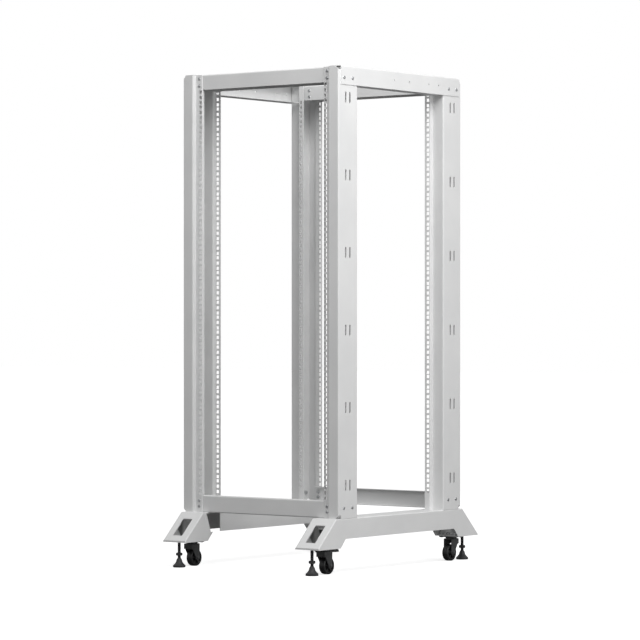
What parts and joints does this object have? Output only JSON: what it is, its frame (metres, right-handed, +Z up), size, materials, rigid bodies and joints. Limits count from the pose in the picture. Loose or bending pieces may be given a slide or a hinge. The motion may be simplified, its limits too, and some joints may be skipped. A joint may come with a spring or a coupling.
{
  "type": "four post open frame rack",
  "caption": "Open frame equipment rack of four folded steel posts with square mounting holes, on two base rails with swivel castors and levelling feet.",
  "frame": {"origin": "on the floor, in the middle of the rack", "axes": "+Z up, -Y the front, +X to the right seen from the front"},
  "size_m": [0.5812, 0.798, 1.4554],
  "materials": {
    "frame_paint": "satin light grey powder coat",
    "castor_steel": "zinc plated",
    "wheel_black": "matte",
    "foot_dark": "matte"
  },
  "bodies": {
    "frame": {"top_front_beam": "frame_paint", "top_rear_beam": "frame_paint", "top_left_side_beam": "frame_paint", "top_right_side_beam": "frame_paint", "lower_front_beam": "frame_paint", "lower_rear_beam": "frame_paint", "left_base_rail": "frame_paint", "right_base_rail": "frame_paint", "front_left_post": "frame_paint", "front_left_castor_plate": "castor_steel", "front_right_post": "frame_paint", "front_right_castor_plate": "castor_steel", "rear_left_post": "frame_paint", "rear_left_castor_plate": "castor_steel", "rear_right_post": "frame_paint", "rear_right_castor_plate": "castor_steel"},
    "front_left_castor": {"front_left_castor_fork": "castor_steel", "front_left_castor_axle": "castor_steel"},
    "front_left_wheel": {"front_left_castor_wheel": "wheel_black"},
    "front_left_foot": {"front_left_levelling_foot": "foot_dark"},
    "front_right_castor": {"front_right_castor_fork": "castor_steel", "front_right_castor_axle": "castor_steel"},
    "front_right_wheel": {"front_right_castor_wheel": "wheel_black"},
    "front_right_foot": {"front_right_levelling_foot": "foot_dark"},
    "rear_left_castor": {"rear_left_castor_fork": "castor_steel", "rear_left_castor_axle": "castor_steel"},
    "rear_left_wheel": {"rear_left_castor_wheel": "wheel_black"},
    "rear_left_foot": {"rear_left_levelling_foot": "foot_dark"},
    "rear_right_castor": {"rear_right_castor_fork": "castor_steel", "rear_right_castor_axle": "castor_steel"},
    "rear_right_wheel": {"rear_right_castor_wheel": "wheel_black"},
    "rear_right_foot": {"rear_right_levelling_foot": "foot_dark"}
  },
  "joints": [
    {"name": "front_left_swivel", "type": "hinge", "parent": "frame", "child": "front_left_castor", "pos_m": [-0.2463, -0.317, 0.069], "axis": [0, 0, 1], "continuous": true},
    {"name": "front_left_wheel_spin", "type": "hinge", "parent": "front_left_castor", "child": "front_left_wheel", "pos_m": [-0.2463, -0.307, 0.025], "axis": [1, 0, 0], "continuous": true},
    {"name": "front_left_foot_screw", "type": "slide", "parent": "frame", "child": "front_left_foot", "axis": [0, 0, 1], "range_m": [-0.012, 0.025]},
    {"name": "front_right_swivel", "type": "hinge", "parent": "frame", "child": "front_right_castor", "pos_m": [0.2463, -0.317, 0.069], "axis": [0, 0, 1], "continuous": true},
    {"name": "front_right_wheel_spin", "type": "hinge", "parent": "front_right_castor", "child": "front_right_wheel", "pos_m": [0.2463, -0.307, 0.025], "axis": [1, 0, 0], "continuous": true},
    {"name": "front_right_foot_screw", "type": "slide", "parent": "frame", "child": "front_right_foot", "axis": [0, 0, 1], "range_m": [-0.012, 0.025]},
    {"name": "rear_left_swivel", "type": "hinge", "parent": "frame", "child": "rear_left_castor", "pos_m": [-0.2463, 0.317, 0.069], "axis": [0, 0, 1], "continuous": true},
    {"name": "rear_left_wheel_spin", "type": "hinge", "parent": "rear_left_castor", "child": "rear_left_wheel", "pos_m": [-0.2463, 0.307, 0.025], "axis": [1, 0, 0], "continuous": true},
    {"name": "rear_left_foot_screw", "type": "slide", "parent": "frame", "child": "rear_left_foot", "axis": [0, 0, 1], "range_m": [-0.012, 0.025]},
    {"name": "rear_right_swivel", "type": "hinge", "parent": "frame", "child": "rear_right_castor", "pos_m": [0.2463, 0.317, 0.069], "axis": [0, 0, 1], "continuous": true},
    {"name": "rear_right_wheel_spin", "type": "hinge", "parent": "rear_right_castor", "child": "rear_right_wheel", "pos_m": [0.2463, 0.307, 0.025], "axis": [1, 0, 0], "continuous": true},
    {"name": "rear_right_foot_screw", "type": "slide", "parent": "frame", "child": "rear_right_foot", "axis": [0, 0, 1], "range_m": [-0.012, 0.025]}
  ]
}
